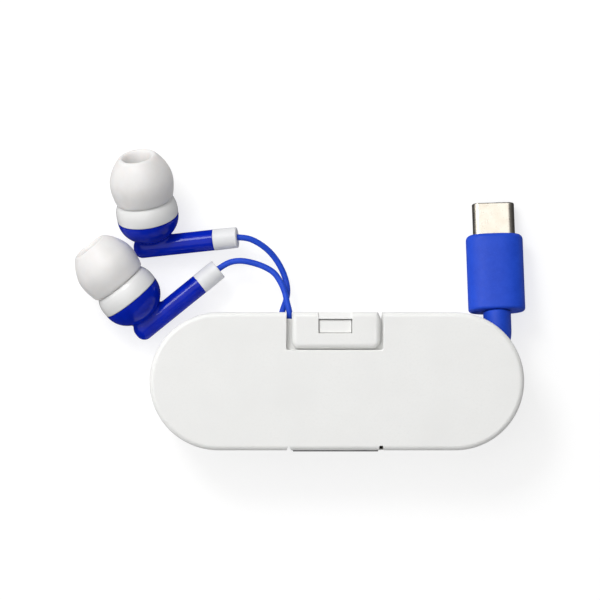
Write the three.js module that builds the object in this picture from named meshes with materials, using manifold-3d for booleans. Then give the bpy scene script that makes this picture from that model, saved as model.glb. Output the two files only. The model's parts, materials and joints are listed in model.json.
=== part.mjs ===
// Wired in-ear earphones with a USB-C plug, whose cord is wound inside a flat
// stadium-shaped clamshell case. Millimetres, +Z up. The case lies on its back:
// its back face is z = 0 and the origin is the middle of that face. +X runs
// along the case towards the plug, +Y out of the edge that the cords leave by.

import * as THREE from 'three';
import { mergeVertices } from 'three/addons/utils/BufferGeometryUtils.js';
import Module from 'manifold-3d';

const wasm = await Module();
wasm.setup();

// ---- driving dimensions ----------------------------------------------------

const CASE_ENDS = { left: -23.55, right: 23.05 }; // centres of the round ends
const CASE_WIDTH = 27.2;
const CASE_DEPTH = 16;
const BEYOND = 60; // further out than any face of the case
const PARTING = 10; // height of the joint between the tray and the cover
const PARTING_GAP = 0.15;
const WALL = 1.5;
const EDGE_ROUND = 0.8;

const LATCH = {
  left: -9.11, right: 8.4, low: 6.4, thick: 1.0, plate: 1.2, corner: 1.6, taper: 0.6, foot: 9.9,
};
const RECESS = { left: -10.14, right: 8.89, low: 6.19, floor: 14.6, wall: 12.3 };
const LATCH_SEAT = { right: 8.59, floor: 8.8 }; // the tray's share of the recess
const BACKING = { left: -11.4, right: 10.2, low: 11.1, high: 12.4 }; // wall behind the latch
const LEDGE = { low: 4.9, thick: 1.2 }; // under the recess
const WINDOW = { left: -3.83, right: 2.77, low: 9.49, high: 12.25 };
const LUG_GAP = 0.27;
const LUG_TOP = 15.5;
const LATCH_AXIS = { y: 13.35, z: 9.3 };
const COVER_AXIS = { y: -13.7, z: PARTING };
const HINGE = { left: -8.9, right: 7.9 };
const HINGE_POCKET = { spare: 0.25, depth: -13.15, low: 9.1, high: 10.9 };

const CORD_SLOT = { left: -12.6, right: -8.8, low: 10, floor: 6.8 };
const NECK_SLOT = { left: 28.35, right: 34.45, low: 5, high: 14, floor: 7.7 };
const CORD = 1.2; // ear cord diameter
const MAIN_CORD = 2.0;
const COIL_FLOOR = 1.8;
const MAIN_COIL = { left: 3, right: 20, inside: 6.8, outside: 10.8, high: 9.8 };
const EAR_COIL = { x: -23.05, inside: 7.8, outside: 11.4, high: 6.6 };

const STEM = 4.15; // earbud stem diameter
const STEM_BACK = 6.55; // stem axis behind the joint of cap and housing
const STEM_HEEL = -3.9;
const STEM_END = 12.2;
const COLLAR_END = 17;
const BUD_RADIUS = 6.1;
const BOWL_DEPTH = 5.3;

const PLUG = { width: 11.3, height: 6.4, length: 15.4, shell: 6.5, round: 0.9 };
const SHELL = { width: 8.34, height: 2.56, wall: 0.3, inside: 3.3 };
const NECK = 2.75; // radius of the plug's strain relief
const NECK_LENGTH = 6.4;

const ROUND = 18; // segments of a case end
const TURNED = 20; // segments of a turned piece

// ---- materials -------------------------------------------------------------

const finishes = {
  shell_white: [0xe8e8e6, 0.5, 0],
  silicone: [0xe4e2e0, 0.55, 0],
  cap_white: [0xeeeeec, 0.2, 0],
  housing_blue: [0x0a1fb4, 0.18, 0],
  cord_blue: [0x2b4fc4, 0.55, 0],
  nickel: [0xd8d2c6, 0.25, 1],
  brass: [0xd4aa50, 0.3, 1],
  steel: [0x9a9a98, 0.4, 1],
  film: [0xc8c4b4, 0.4, 0],
  copper: [0xb4663a, 0.4, 1],
  board_green: [0x1d5a34, 0.5, 0],
  black_plastic: [0x18181a, 0.5, 0],
};

// ---- solids ----------------------------------------------------------------

function solidOf(geometry) {
  const bare = geometry.index ? geometry.toNonIndexed() : geometry.clone();
  for (const name of Object.keys(bare.attributes)) {
    if (name !== 'position') bare.deleteAttribute(name);
  }
  const welded = mergeVertices(bare, 1e-4);
  return new wasm.Manifold(new wasm.Mesh({
    numProp: 3,
    vertProperties: new Float32Array(welded.attributes.position.array),
    triVerts: new Uint32Array(welded.index.array),
  }));
}

function geometryOf(solid) {
  const mesh = solid.getMesh();
  const geometry = new THREE.BufferGeometry();
  const points = new THREE.BufferAttribute(new Float32Array(mesh.vertProperties), 3);
  geometry.setAttribute('position', points);
  geometry.setIndex(new THREE.BufferAttribute(new Uint32Array(mesh.triVerts), 1));
  geometry.computeVertexNormals();
  return geometry;
}

function block([x0, x1], [y0, y1], [z0, z1]) {
  const box = new THREE.BoxGeometry(x1 - x0, y1 - y0, z1 - z0);
  box.translate((x0 + x1) / 2, (y0 + y1) / 2, (z0 + z1) / 2);
  return solidOf(box);
}

function outline(points) {
  return new THREE.Shape(points.map(([x, y]) => new THREE.Vector2(x, y)));
}

// Two half circles of one radius joined by straights, about y = 0.
function stadium(left, right, radius) {
  const shape = new THREE.Shape();
  shape.moveTo(left, -radius);
  shape.lineTo(right, -radius);
  shape.absarc(right, 0, radius, -Math.PI / 2, Math.PI / 2, false);
  shape.lineTo(left, radius);
  shape.absarc(left, 0, radius, Math.PI / 2, 1.5 * Math.PI, false);
  return shape;
}

function roundedBox(width, height, radius) {
  const [w, h] = [width / 2, height / 2];
  const shape = new THREE.Shape();
  shape.moveTo(-w + radius, -h);
  shape.absarc(w - radius, -h + radius, radius, -Math.PI / 2, 0, false);
  shape.absarc(w - radius, h - radius, radius, 0, Math.PI / 2, false);
  shape.absarc(-w + radius, h - radius, radius, Math.PI / 2, Math.PI, false);
  shape.absarc(-w + radius, -h + radius, radius, Math.PI, 1.5 * Math.PI, false);
  return shape;
}

function prism(shape, [z0, z1], round = 0, curveSegments = ROUND) {
  const geometry = new THREE.ExtrudeGeometry(shape, {
    depth: z1 - z0 - 2 * round,
    curveSegments,
    bevelEnabled: round > 0,
    bevelThickness: round,
    bevelSize: round,
    bevelOffset: -round,
    bevelSegments: 3,
  });
  geometry.translate(0, 0, z0 + round);
  return geometry;
}

// A profile of [radius, height] pairs turned about the Z axis.
function turned(profile, segments = TURNED) {
  const points = profile.map(([r, z]) => new THREE.Vector2(r, z));
  const geometry = new THREE.LatheGeometry(points, segments);
  geometry.rotateX(Math.PI / 2);
  return geometryOf(solidOf(geometry));
}

// The same, for a profile that closes on itself and has a hole along the axis.
function turnedRing(profile, segments = TURNED) {
  return turned([...profile, profile[0]], segments);
}

function cylinder(radius, [z0, z1], segments = TURNED) {
  return turned([[0, z0], [radius, z0], [radius, z1], [0, z1]], segments);
}

function tube(points, diameter, steps) {
  const curve = new THREE.CatmullRomCurve3(points.map((p) => new THREE.Vector3(...p)));
  const section = new THREE.Shape();
  for (let side = 0; side < 8; side += 1) {
    const angle = (side / 8) * 2 * Math.PI;
    const [x, y] = [Math.cos(angle) * diameter / 2, Math.sin(angle) * diameter / 2];
    if (side === 0) section.moveTo(x, y);
    else section.lineTo(x, y);
  }
  return new THREE.ExtrudeGeometry(section, { steps, extrudePath: curve });
}

function piece(name, geometry, finish) {
  const [color, roughness, metalness] = finishes[finish];
  const material = new THREE.MeshStandardMaterial({ color, roughness, metalness });
  material.name = finish;
  const mesh = new THREE.Mesh(geometry, material);
  mesh.name = name;
  return mesh;
}

const along = (axis, geometry) => {
  if (axis === 'Y') geometry.rotateX(-Math.PI / 2);
  if (axis === 'X') geometry.rotateY(Math.PI / 2);
  return geometry;
};

// ---- the plug's place ------------------------------------------------------

// The plug lies nose down against the surface. Its group's +Y is the way it points.
const plug = new THREE.Group();
plug.position.set(31.45, 13.75, 6.85);
plug.rotation.set(THREE.MathUtils.degToRad(-13), 0, THREE.MathUtils.degToRad(1.9), 'ZXY');
plug.updateMatrix();

const neckClearance = along('Y', cylinder(NECK + 0.3, [-8, 2]));
neckClearance.applyMatrix4(plug.matrix);

// ---- case ------------------------------------------------------------------

const halfWidth = CASE_WIDTH / 2;
const all = [-BEYOND, BEYOND];
const outside = solidOf(prism(
  stadium(CASE_ENDS.left, CASE_ENDS.right, halfWidth), [0, CASE_DEPTH], EDGE_ROUND,
));
const cavity = solidOf(prism(
  stadium(CASE_ENDS.left, CASE_ENDS.right, halfWidth - WALL), [WALL, CASE_DEPTH - WALL],
));
const shell = outside.subtract(cavity);
const hingePocket = block(
  [HINGE.left - HINGE_POCKET.spare, HINGE.right + HINGE_POCKET.spare],
  [-BEYOND, HINGE_POCKET.depth],
  [HINGE_POCKET.low, HINGE_POCKET.high],
);

// Relief notches beside the latch and beside the hinge strip.
const notch = (points, [z0, z1]) => solidOf(prism(outline(points), [z0, z1]));
const latchNotch = notch(
  [[8.45, RECESS.wall], [8.6, RECESS.wall], [8.95, 14], [7.7, 14]], [-1, BEYOND],
);
const leftHingeNotch = notch([[-10.35, -14], [-9.05, -14], [-9.7, -12.7]], [-1, BEYOND]);
const rightHingeNotch = notch(
  [[8.0, -14], [9.0, -14], [8.75, -12.9], [8.3, -12.9]], [PARTING - 2, BEYOND],
);

function rearTray() {
  const top = PARTING - PARTING_GAP;
  const backing = block(
    [CORD_SLOT.right, BACKING.right], [BACKING.low, BACKING.high], [WALL - 0.5, top],
  );
  const latchSeat = block(
    [RECESS.left, LATCH_SEAT.right], [RECESS.wall, BEYOND], [LATCH_SEAT.floor, BEYOND],
  );
  const cordSlot = block(
    [CORD_SLOT.left, CORD_SLOT.right], [CORD_SLOT.low, BEYOND], [CORD_SLOT.floor, BEYOND],
  );
  const neckSlot = block(
    [NECK_SLOT.left, NECK_SLOT.right], [NECK_SLOT.low, NECK_SLOT.high], [NECK_SLOT.floor, BEYOND],
  );
  return shell
    .intersect(block(all, all, [-1, top]))
    .add(backing)
    .subtract(latchSeat)
    .subtract(cordSlot)
    .subtract(solidOf(neckClearance))
    .subtract(neckSlot)
    .subtract(latchNotch)
    .subtract(leftHingeNotch)
    .subtract(rightHingeNotch)
    .subtract(hingePocket);
}

function frontCover() {
  const recessX = [RECESS.left, RECESS.right];
  const roof = CASE_DEPTH - WALL + 0.2;
  const ledge = block(
    [BACKING.left, BACKING.right], [LEDGE.low, BACKING.high], [RECESS.floor - LEDGE.thick, roof],
  );
  const backing = block(
    [BACKING.left, BACKING.right], [BACKING.low, BACKING.high], [PARTING, roof],
  );
  const lug = block(
    [WINDOW.left + LUG_GAP, WINDOW.right - LUG_GAP],
    [WINDOW.low + LUG_GAP, WINDOW.high - LUG_GAP],
    [RECESS.floor - 0.4, LUG_TOP],
  );
  return shell
    .intersect(block(all, all, [PARTING, BEYOND]))
    .add(ledge)
    .add(backing)
    .subtract(block(recessX, [RECESS.low, BEYOND], [RECESS.floor, BEYOND]))
    .subtract(block(recessX, [RECESS.wall, BEYOND], [0, BEYOND]))
    .add(lug)
    .subtract(solidOf(neckClearance))
    .subtract(leftHingeNotch)
    .subtract(rightHingeNotch)
    .subtract(hingePocket);
}

// An L: a plate over the front of the cover and a leg down its edge to the hinge.
function latchTab() {
  const { left, right, low, corner, taper } = LATCH;
  const shape = new THREE.Shape();
  shape.moveTo(left, BEYOND);
  shape.lineTo(left, low + corner);
  shape.absarc(left + corner, low + corner, corner, Math.PI, 1.5 * Math.PI, false);
  shape.absarc(right - corner, low + corner, corner, 1.5 * Math.PI, 2 * Math.PI, false);
  shape.lineTo(right, RECESS.wall);
  shape.lineTo(right - taper, halfWidth + 0.1);
  shape.lineTo(right - taper, BEYOND);
  const plateFoot = CASE_DEPTH - LATCH.plate;
  const window = block([WINDOW.left, WINDOW.right], [WINDOW.low, WINDOW.high], [0, BEYOND]);
  return solidOf(prism(shape, [LATCH.foot, CASE_DEPTH + 1], 0, 6))
    .intersect(outside)
    .subtract(block(all, [0, halfWidth - LATCH.thick], [0, plateFoot]))
    .subtract(window);
}

function bendingStrip([x0, x1], [y0, y1], [z0, z1]) {
  return along('X', prism(outline([
    [-z0, y0], [-z0, y1], [-z1, y1], [-z1, y0],
  ]), [x0, x1]));
}

// ---- earbuds ---------------------------------------------------------------

// Each earbud's own frame: +Z out of the ear tip, +X along the stem to the cord,
// and the origin in the plane where the white cap meets the blue housing.

const domeRadius = (z) => BUD_RADIUS * Math.sqrt(Math.max(0, 1 - (z / BOWL_DEPTH) ** 2));

function rearHousing() {
  const bowl = [];
  for (let step = 0; step <= 10; step += 1) {
    const z = -BOWL_DEPTH * Math.cos((step / 10) * Math.PI / 2);
    bowl.push([domeRadius(z), z]);
  }
  bowl.push([0, 0]);
  const stem = along('X', turned([
    [0, STEM_HEEL], [1.2, STEM_HEEL + 0.12], [1.85, STEM_HEEL + 0.75],
    [STEM / 2, STEM_HEEL + 1.7], [STEM / 2, STEM_END], [0, STEM_END],
  ]));
  stem.translate(0, 0, -STEM_BACK);
  const bore = along('X', cylinder(1.2, [-1, STEM_END + 1], 12));
  bore.translate(0, 0, -STEM_BACK);
  const driverRoom = turned([
    [0, -4.3], [3.4, -3.6], [4.6, -2.4], [5.2, -0.9], [5.2, 0.5], [0, 0.5],
  ]);
  return solidOf(turned(bowl))
    .add(solidOf(stem))
    .subtract(solidOf(driverRoom))
    .subtract(solidOf(bore))
    .subtract(block([-1, 1], [-1, 1], [-STEM_BACK, -3]));
}

const frontCap = () => turnedRing([
  [5.2, 0.1], [BUD_RADIUS, 0.1], [6.12, 1.2], [6.0, 2.2], [5.6, 3.2], [5.0, 4.0],
  [4.0, 4.6], [2.9, 4.9], [2.0, 5.1], [2.0, 8.7], [2.3, 9.0], [2.1, 9.8], [1.75, 9.9],
  [1.75, 9.3], [1.3, 9.3], [1.3, 4.6], [3.6, 3.6], [4.9, 2.2],
]);

// Umbrella-shaped: a dome that opens downwards round a sleeve for the nozzle.
const earTip = () => turnedRing([
  [2.5, 5.5], [3.1, 5.5], [3.2, 10.2], [4.0, 11.2], [4.9, 10.2], [5.5, 8.6], [5.65, 7.2],
  [5.4, 5.4], [5.15, 4.3], [5.5, 3.85], [5.75, 4.3], [6.1, 5.6], [6.3, 7.3], [6.15, 8.8],
  [5.6, 10.3], [4.8, 11.7], [3.9, 12.8], [3.45, 13.25], [3.05, 13.2], [2.7, 12.4], [2.5, 11.2],
]);

const diaphragm = () => turned([
  [0, 0.95], [1.4, 0.8], [2.5, 0.35], [3.4, 0.7], [4.2, 0.45], [4.2, 0.6],
  [3.4, 0.87], [2.5, 0.53], [1.4, 0.97], [0, 1.13],
]);

const driverFrame = () => turnedRing([
  [2.55, -2.6], [3.6, -2.6], [4.4, -1.5], [4.4, 0.3], [4.05, 0.3], [4.05, -1.3],
  [3.4, -2.25], [2.55, -2.25],
]);

const voiceCoil = () => turnedRing([[2.5, -1.9], [2.75, -1.9], [2.75, 0.2], [2.5, 0.2]]);

// side: the ear that the bud is for. boundary: centre of the joint of cap and
// housing. lean: the tip's turn from +Y towards -X. lift: its rise. heading: the
// stem's direction seen from above; the stem is square to the tip axis.
function earbud(side, boundary, lean, lift, heading) {
  const [turn, rise] = [lean, lift].map(THREE.MathUtils.degToRad);
  const tipAxis = new THREE.Vector3(
    -Math.sin(turn) * Math.cos(rise), Math.cos(turn) * Math.cos(rise), Math.sin(rise),
  );
  const angle = THREE.MathUtils.degToRad(heading);
  const stemAxis = new THREE.Vector3(Math.cos(angle), Math.sin(angle), 0);
  stemAxis.z = -tipAxis.dot(stemAxis) / tipAxis.z;
  stemAxis.normalize();
  const across = new THREE.Vector3().crossVectors(tipAxis, stemAxis);
  const bud = new THREE.Group();
  bud.position.set(...boundary);
  bud.quaternion.setFromRotationMatrix(new THREE.Matrix4().makeBasis(stemAxis, across, tipAxis));

  const collar = piece(`stem_collar_${side}`, along('X', turnedRing([
    [0.9, STEM_END + 0.3], [2.1, STEM_END + 0.3], [2.1, COLLAR_END - 0.25],
    [1.85, COLLAR_END], [0.9, COLLAR_END],
  ])), 'cap_white');
  collar.position.z = -STEM_BACK;
  bud.add(
    piece(`rear_housing_${side}`, geometryOf(rearHousing()), 'housing_blue'),
    piece(`front_cap_${side}`, frontCap(), 'cap_white'),
    piece(`ear_tip_${side}`, earTip(), 'silicone'),
    piece(`nozzle_mesh_${side}`, cylinder(1.55, [9.45, 9.7]), 'steel'),
    piece(`diaphragm_${side}`, diaphragm(), 'film'),
    piece(`voice_coil_${side}`, voiceCoil(), 'copper'),
    piece(`driver_frame_${side}`, driverFrame(), 'steel'),
    piece(`magnet_${side}`, cylinder(2.3, [-2.75, -0.6]), 'nickel'),
    piece(`terminal_board_${side}`, cylinder(2.2, [-3.5, -3.0], 16), 'board_green'),
    collar,
  );
  return bud;
}

// ---- USB-C plug ------------------------------------------------------------

function overmold() {
  const body = along('Y', prism(
    roundedBox(PLUG.width, PLUG.height, 2.9), [0, PLUG.length], PLUG.round, 6,
  ));
  const room = block([-4.5, 4.5], [2, PLUG.length + 1], [-1.6, 1.6]);
  return solidOf(body).subtract(room);
}

function plugShell() {
  const shape = roundedBox(SHELL.width, SHELL.height, SHELL.height / 2 - 0.01);
  const hole = roundedBox(
    SHELL.width - 2 * SHELL.wall, SHELL.height - 2 * SHELL.wall,
    SHELL.height / 2 - SHELL.wall - 0.01,
  );
  shape.holes.push(hole);
  return along('Y', prism(shape, [PLUG.length - SHELL.inside, PLUG.length + PLUG.shell], 0, 6));
}

function insulator() {
  const front = PLUG.length + PLUG.shell - 0.3;
  const body = along('Y', prism(roundedBox(7.5, 1.74, 0.85), [PLUG.length - 3, front], 0, 5));
  return solidOf(body).subtract(block([-3.4, 3.4], [front - 5.5, front + 1], [-0.55, 0.55]));
}

// Twelve contact fingers on a cross bar, against one face of the plug's slot.
function contactRow(face) {
  const front = PLUG.length + PLUG.shell - 0.9;
  const z = face > 0 ? [0.36, 0.48] : [-0.48, -0.36];
  let row = block([-3.0, 3.0], [front - 4.7, front - 4.2], z);
  for (let finger = 0; finger < 12; finger += 1) {
    const x = (finger - 5.5) * 0.5;
    row = row.add(block([x - 0.12, x + 0.12], [front - 4.4, front], z));
  }
  return geometryOf(row);
}

plug.add(
  piece('plug_overmold', geometryOf(overmold()), 'cord_blue'),
  piece('plug_shell', plugShell(), 'nickel'),
  piece('plug_insulator', geometryOf(insulator()), 'black_plastic'),
  piece('contact_row_upper', contactRow(1), 'brass'),
  piece('contact_row_lower', contactRow(-1), 'brass'),
  piece('plug_board', geometryOf(block([-3.6, 3.6], [2.5, 11.9], [-0.4, 0.2])), 'board_green'),
  piece('audio_chip', geometryOf(block([-1.6, 1.6], [5, 8.2], [0.45, 1.25])), 'black_plastic'),
  piece('plug_strain_relief', along('Y', turned([
    [0, -NECK_LENGTH], [2.2, -NECK_LENGTH], [2.5, -NECK_LENGTH + 0.4],
    [NECK, -NECK_LENGTH + 1.2], [NECK, -0.3], [0, -0.3],
  ])), 'cord_blue'),
);

// ---- cords -----------------------------------------------------------------

const leftRoute = [
  [-19.5, 28.4, 5.65], [-17.2, 28.0, 5.6], [-14.1, 26.1, 5.0], [-11.9, 23.5, 4.4],
  [-10.45, 20.4, 4.5], [-10.0, 18.0, 5.3], [-10.25, 16.0, 6.5], [-10.95, 13.9, 7.85],
  [-11.3, 12.3, 8.2], [-12.4, 10.95, 7.6], [-14.4, 10.6, 6.3], [-16.4, 10.65, 5.35],
];
const rightRoute = [
  [-23.35, 22.4, 5.15], [-21.5, 23.4, 5.4], [-19.6, 23.75, 5.7], [-17.7, 23.55, 6.0],
  [-14.9, 22.7, 6.3], [-12.7, 21.4, 6.6], [-11.4, 19.6, 7.1], [-10.5, 17.5, 7.8],
  [-10.05, 15.5, 8.5], [-9.6, 13.6, 9.0], [-9.6, 12.3, 9.0], [-10.2, 10.9, 8.95],
  [-11.5, 9.8, 8.75], [-13.2, 9.5, 8.4], [-14.9, 9.75, 7.85], [-16.3, 10.1, 7.35],
];
const leftTail = [[-17.6, -10.75, 2.4], [-16.0, -10.6, 2.4], [-14.3, -10.3, 2.45]];
const rightTail = [[-17.6, -10.75, 3.75], [-16.0, -10.6, 3.85], [-14.3, -10.3, 3.9]];
const mainTail = [[31.66, 7.2, 8.35], [31.5, 5.8, 8.5], [31.2, 4.6, 8.7]];

function roundCoil() {
  const ring = turnedRing([
    [EAR_COIL.inside, COIL_FLOOR], [EAR_COIL.outside, COIL_FLOOR],
    [EAR_COIL.outside, EAR_COIL.high], [EAR_COIL.inside, EAR_COIL.high],
  ], 32);
  ring.translate(EAR_COIL.x, 0, 0);
  return ring;
}

function oblongCoil() {
  const shape = stadium(MAIN_COIL.left, MAIN_COIL.right, MAIN_COIL.outside);
  shape.holes.push(stadium(MAIN_COIL.left, MAIN_COIL.right, MAIN_COIL.inside));
  return prism(shape, [COIL_FLOOR, MAIN_COIL.high], 0, 14);
}

function splitter() {
  const body = block([-14, -5.2], [-11.8, -8.6], [COIL_FLOOR, 4.6]);
  const boot = along('X', turned([[0, -5.5], [1.35, -5.5], [1.15, -3.4], [0, -3.4]], 16));
  boot.translate(0, -10.2, 3.2);
  return geometryOf(body.add(solidOf(boot)));
}

// ---- assembly --------------------------------------------------------------

const earphones = new THREE.Group();
earphones.name = 'wired_earphones';
earphones.add(
  piece('rear_tray', geometryOf(rearTray()), 'shell_white'),
  piece('front_cover', geometryOf(frontCover()), 'shell_white'),
  piece('latch_tab', geometryOf(latchTab()), 'shell_white'),
  piece('cover_hinge_strip', bendingStrip(
    [HINGE.left, HINGE.right], [COVER_AXIS.y - 0.2, COVER_AXIS.y + 0.25],
    [COVER_AXIS.z - 0.65, COVER_AXIS.z + 0.65],
  ), 'shell_white'),
  piece('latch_hinge_strip', bendingStrip(
    [LATCH.left + 0.2, LATCH.right - 0.9], [LATCH_AXIS.y - 0.15, LATCH_AXIS.y + 0.2],
    [LATCH_AXIS.z - 0.35, LATCH_AXIS.z + 0.4],
  ), 'shell_white'),
  earbud('left', [-37.6, 32.5, 5.75], 10, 24, 6.1),
  earbud('right', [-40.9, 16.5, 6.2], 39, 9, 39),
  plug,
  piece('ear_cord_left', tube(leftRoute, CORD, 18), 'cord_blue'),
  piece('ear_cord_right', tube(rightRoute, CORD, 20), 'cord_blue'),
  piece('ear_cord_coil', roundCoil(), 'cord_blue'),
  piece('ear_cord_left_tail', tube(leftTail, CORD, 2), 'cord_blue'),
  piece('ear_cord_right_tail', tube(rightTail, CORD, 2), 'cord_blue'),
  piece('y_splitter', splitter(), 'cord_blue'),
  piece('main_cord_coil', oblongCoil(), 'cord_blue'),
  piece('main_cord_tail', tube(mainTail, MAIN_CORD, 2), 'cord_blue'),
);

export default earphones;
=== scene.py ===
import json
import math
from contextlib import contextmanager

import bmesh
import bpy
import numpy as np
from mathutils import Matrix, Vector


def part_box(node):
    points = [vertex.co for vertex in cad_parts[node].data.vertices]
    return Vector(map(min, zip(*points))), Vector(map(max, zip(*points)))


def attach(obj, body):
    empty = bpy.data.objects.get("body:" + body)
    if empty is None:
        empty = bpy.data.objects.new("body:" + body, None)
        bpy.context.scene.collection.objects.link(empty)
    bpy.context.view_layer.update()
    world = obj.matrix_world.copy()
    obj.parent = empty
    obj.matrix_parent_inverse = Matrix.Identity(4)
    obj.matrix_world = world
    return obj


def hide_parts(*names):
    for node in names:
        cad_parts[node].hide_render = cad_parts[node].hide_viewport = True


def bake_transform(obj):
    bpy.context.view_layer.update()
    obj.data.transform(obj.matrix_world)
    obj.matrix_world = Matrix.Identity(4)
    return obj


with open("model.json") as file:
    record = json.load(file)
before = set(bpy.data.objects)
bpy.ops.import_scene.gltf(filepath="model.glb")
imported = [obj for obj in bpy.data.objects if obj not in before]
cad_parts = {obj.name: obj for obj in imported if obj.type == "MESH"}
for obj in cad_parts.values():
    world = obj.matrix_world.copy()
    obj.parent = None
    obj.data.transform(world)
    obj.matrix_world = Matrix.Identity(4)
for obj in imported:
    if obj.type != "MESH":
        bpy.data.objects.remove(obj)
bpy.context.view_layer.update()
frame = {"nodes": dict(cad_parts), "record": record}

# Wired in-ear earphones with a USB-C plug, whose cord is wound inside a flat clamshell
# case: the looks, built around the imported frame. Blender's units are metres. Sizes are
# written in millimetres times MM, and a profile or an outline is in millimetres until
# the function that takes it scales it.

MM = 0.001
CUTTER_REACH = 4  # how far a flared cutter stands out past the face that it cuts, in mm


# ---- places taken from the frame ---------------------


def corners(node):
    """The separate corner points of a CAD node at rest."""
    found = {tuple(round(c, 7) for c in v.co) for v in frame["nodes"][node].data.vertices}
    return [Vector(p) for p in sorted(found)]


def middle(node):
    points = corners(node)
    return sum(points, Vector()) / len(points)


def reach_along(node, axis):
    """Lowest and highest place of a CAD node along a direction."""
    places = [p.dot(axis) for p in corners(node)]
    return min(places), max(places)


def placed(x_axis, y_axis, z_axis, origin):
    matrix = Matrix((x_axis, y_axis, z_axis)).transposed().to_4x4()
    matrix.translation = origin
    return matrix


MAGNET_BEHIND = 1.675 * MM  # middle of the magnet, behind the joint of cap and housing
STEM_BACK = 6.55  # the stem's axis, behind the same joint


def bud_frame(side):
    """Z out of the ear tip, X along the stem to the cord, origin at the cap's joint."""
    magnet = middle(f"magnet_{side}")
    tip = (magnet - middle(f"terminal_board_{side}")).normalized()
    origin = magnet + tip * MAGNET_BEHIND
    collar = middle(f"stem_collar_{side}") - (origin - tip * STEM_BACK * MM)
    stem = (collar - tip * collar.dot(tip)).normalized()
    return placed(stem, tip.cross(stem), tip, origin)


def plug_frame():
    """Y the way the plug points, Z its upper face, origin at the middle of its rear end."""
    body, metal = middle("plug_overmold"), middle("plug_shell")
    forward = (metal - body).normalized()
    right = forward.cross(Vector((0, 0, 1))).normalized()
    rear = reach_along("plug_overmold", forward)[0]
    return placed(right, forward, right.cross(forward), body + forward * (rear - body.dot(forward)))


BUDS = {side: bud_frame(side) for side in ("left", "right")}
PLUG = plug_frame()
PLUG_TURNED = PLUG @ Matrix.Rotation(-math.pi / 2, 4, "X")  # Z the way the plug points


# ---- camera ------------------------------------------

VIEW_CENTRE = (-7.5 * MM, 16.0 * MM)
VIEW_WIDTH = 118.6 * MM  # what the picture spans at the height of the object
CAMERA_HEIGHT = 1.8
SENSOR = 36.0

camera = bpy.data.objects.new("camera", bpy.data.cameras.new("camera"))
bpy.context.scene.collection.objects.link(camera)
camera.location = (*VIEW_CENTRE, CAMERA_HEIGHT)
camera.data.sensor_width = SENSOR
camera.data.lens = SENSOR * (CAMERA_HEIGHT - 8 * MM) / VIEW_WIDTH
bpy.context.scene.camera = camera


# ---- mesh code ---------------------------------------


@contextmanager
def edited(mesh):
    """A mesh opened for editing, and written back afterwards."""
    work = bmesh.new()
    work.from_mesh(mesh)
    yield work
    work.to_mesh(mesh)
    work.free()


def made(name, points, faces):
    """An object from points in metres and faces, with its faces turned outwards."""
    mesh = bpy.data.meshes.new(name)
    mesh.from_pydata(points, [], faces)
    with edited(mesh) as work:
        bmesh.ops.recalc_face_normals(work, faces=work.faces)
    piece = bpy.data.objects.new(name, mesh)
    bpy.context.scene.collection.objects.link(piece)
    return piece


def skin(name, rings, closed=False, matrix=None):
    """A closed skin over rings of millimetre points. Closed: the last ring meets the first."""
    matrix = matrix or Matrix()
    count = len(rings[0])
    points = [matrix @ (Vector(p) * MM) for ring in rings for p in ring]
    faces = []
    for level in range(len(rings) if closed else len(rings) - 1):
        low, high = level * count, (level + 1) % len(rings) * count
        for side in range(count):
            after = (side + 1) % count
            faces.append((low + side, low + after, high + after, high + side))
    if not closed:
        faces.append(tuple(reversed(range(count))))
        faces.append(tuple(range(len(points) - count, len(points))))
    return made(name, points, faces)


def turned(name, profile, matrix, along_x=False, back=0.0, segments=96):
    """A turned solid. The profile of (radius, height) closes on itself or meets the axis."""
    rings, poles = [], (profile[0][0] == 0, profile[-1][0] == 0)
    for radius, height in profile:
        ring = []
        for step in range(segments):
            angle = 2 * math.pi * step / segments
            across, out = radius * math.cos(angle), radius * math.sin(angle)
            ring.append((height, across, out - back) if along_x else (across, out, height))
        rings.append(ring)
    piece = skin(name, rings, closed=not any(poles), matrix=matrix)
    if any(poles):
        with edited(piece.data) as work:
            ends = [f for f in work.faces if len(f.verts) == segments]
            bmesh.ops.delete(work, geom=ends, context="FACES")
            bmesh.ops.remove_doubles(work, verts=work.verts, dist=1e-7)
            bmesh.ops.recalc_face_normals(work, faces=work.faces)
    return piece


def cut(piece, cutter, operation="DIFFERENCE"):
    """Cuts, joins or meets a piece with another, which is used up."""
    boolean = piece.modifiers.new("cut", "BOOLEAN")
    boolean.operation = operation
    boolean.solver = "EXACT"
    boolean.object = cutter
    keep_shape(piece)
    bpy.data.objects.remove(cutter)
    return piece


def keep_shape(piece):
    """Applies a piece's modifiers."""
    graph = bpy.context.evaluated_depsgraph_get()
    mesh = bpy.data.meshes.new_from_object(piece.evaluated_get(graph))
    mesh.name = piece.name
    piece.modifiers.clear()
    piece.data = mesh


def shaded(piece, sharp=32, weighted=True):
    """Smooth shading that keeps flat faces flat and edges past an angle crisp."""
    piece.data.shade_smooth()
    piece.data.set_sharp_from_angle(angle=math.radians(sharp))
    if weighted:
        normals = piece.modifiers.new("normals", "WEIGHTED_NORMAL")
        normals.keep_sharp = True
        normals.weight = 80
    return piece


def belongs(piece, body, slot, *nodes, look=None):
    """Parents a piece to its body, hides the CAD nodes that it replaces, and gives it the material
    of its look, or else of its slot.
    """
    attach(piece, body)
    if nodes:
        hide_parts(*nodes)
    piece.data.materials.clear()
    piece.data.materials.append(MATERIALS[look or slot])
    return piece


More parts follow.
